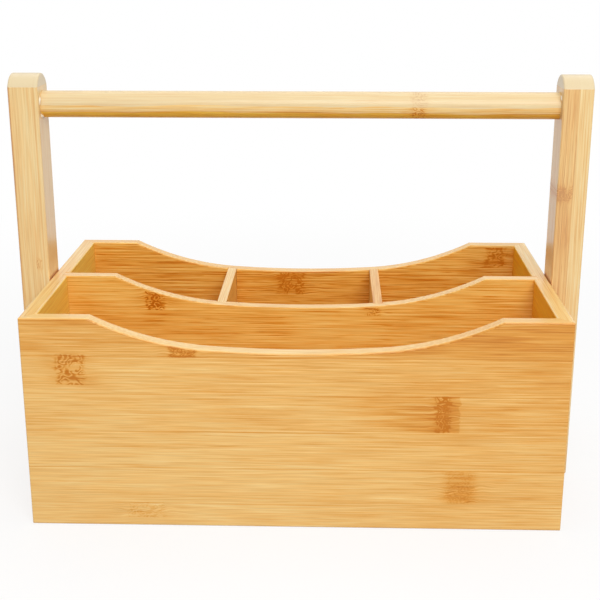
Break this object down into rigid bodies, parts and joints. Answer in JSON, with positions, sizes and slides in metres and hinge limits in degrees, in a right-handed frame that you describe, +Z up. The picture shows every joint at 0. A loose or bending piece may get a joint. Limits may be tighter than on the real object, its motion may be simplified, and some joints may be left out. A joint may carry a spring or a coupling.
{
  "type": "utensil caddy",
  "caption": "Open wooden utensil caddy with a scooped front and back, a long divider, cross dividers in the rear half and a fixed round bar handle between upright posts.",
  "frame": {"origin": "middle of the footprint, on the surface that the caddy stands on", "axes": "+X to the right along the box, +Y from the front panel to the back panel, +Z up"},
  "size_m": [0.346, 0.178, 0.2535],
  "materials": {
    "bamboo_panel": "satin lacquered bamboo, caramel strips, edges paler",
    "bamboo_side": "satin lacquered bamboo, caramel strips, edges paler",
    "bamboo_bottom": "satin lacquered bamboo board",
    "bamboo_divider": "satin lacquered bamboo, edges paler",
    "bamboo_post": "satin lacquered pale bamboo, upright strips",
    "bamboo_bar": "satin lacquered pale bamboo, turned round",
    "screw_steel": "zinc plated"
  },
  "bodies": {
    "root": {"front_panel": "bamboo_panel", "back_panel": "bamboo_panel", "left_side_panel": "bamboo_side", "right_side_panel": "bamboo_side", "bottom_board": "bamboo_bottom", "long_divider": "bamboo_divider", "cross_divider_left": "bamboo_divider", "cross_divider_right": "bamboo_divider", "left_post": "bamboo_post", "right_post": "bamboo_post", "handle_bar": "bamboo_bar", "left_post_screws": "screw_steel", "right_post_screws": "screw_steel"}
  },
  "joints": []
}
